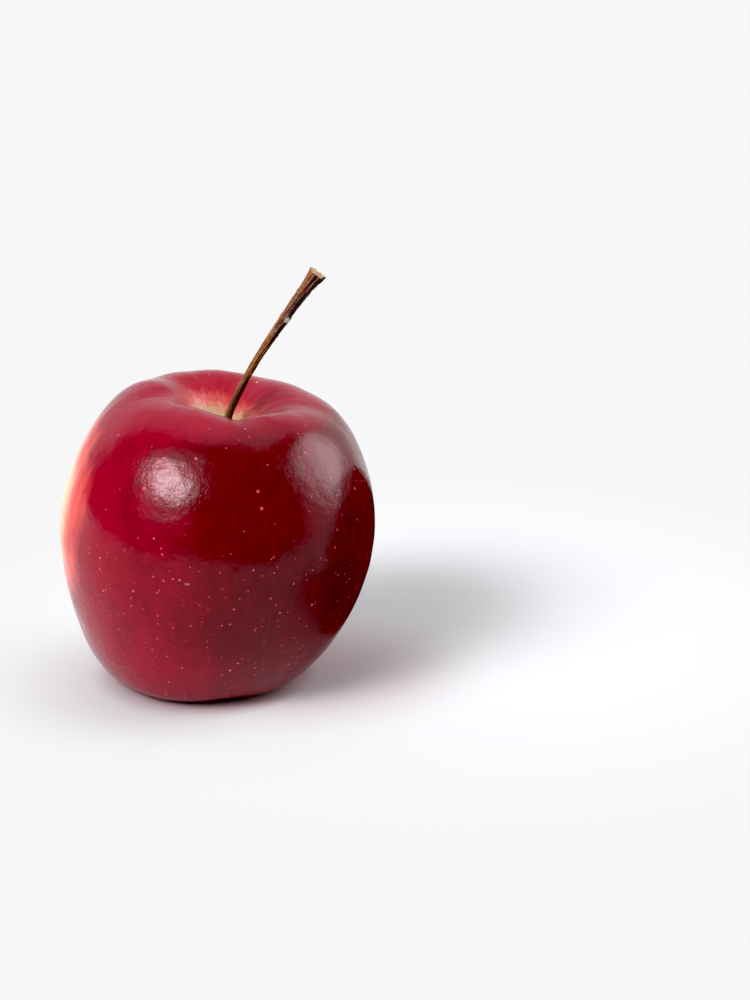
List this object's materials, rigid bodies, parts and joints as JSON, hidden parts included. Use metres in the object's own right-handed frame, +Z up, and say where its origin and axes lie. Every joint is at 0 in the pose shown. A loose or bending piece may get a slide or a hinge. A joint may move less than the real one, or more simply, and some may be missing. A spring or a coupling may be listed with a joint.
{
  "type": "apple",
  "caption": "Whole ripe red dessert apple that stands on the lobes round its eye, with a long thin leaning stem in its cavity and dried sepals round the eye underneath.",
  "frame": {"origin": "centre of the fruit's outline as seen from above, on the surface that the apple stands on", "axes": "+Z up, from the eye to the stem; +X towards the side that the stem leans to; +Y completes a right-handed frame"},
  "size_m": [0.076, 0.076, 0.1012],
  "materials": {
    "skin": "gloss",
    "bark": "matte",
    "dried_leaf": "matte",
    "dried_stamens": "matte"
  },
  "bodies": {
    "root": {"fruit": "skin", "stem": "bark", "sepal_1": "dried_leaf", "sepal_2": "dried_leaf", "sepal_3": "dried_leaf", "sepal_4": "dried_leaf", "sepal_5": "dried_leaf", "stamen_tuft": "dried_stamens"}
  },
  "joints": []
}
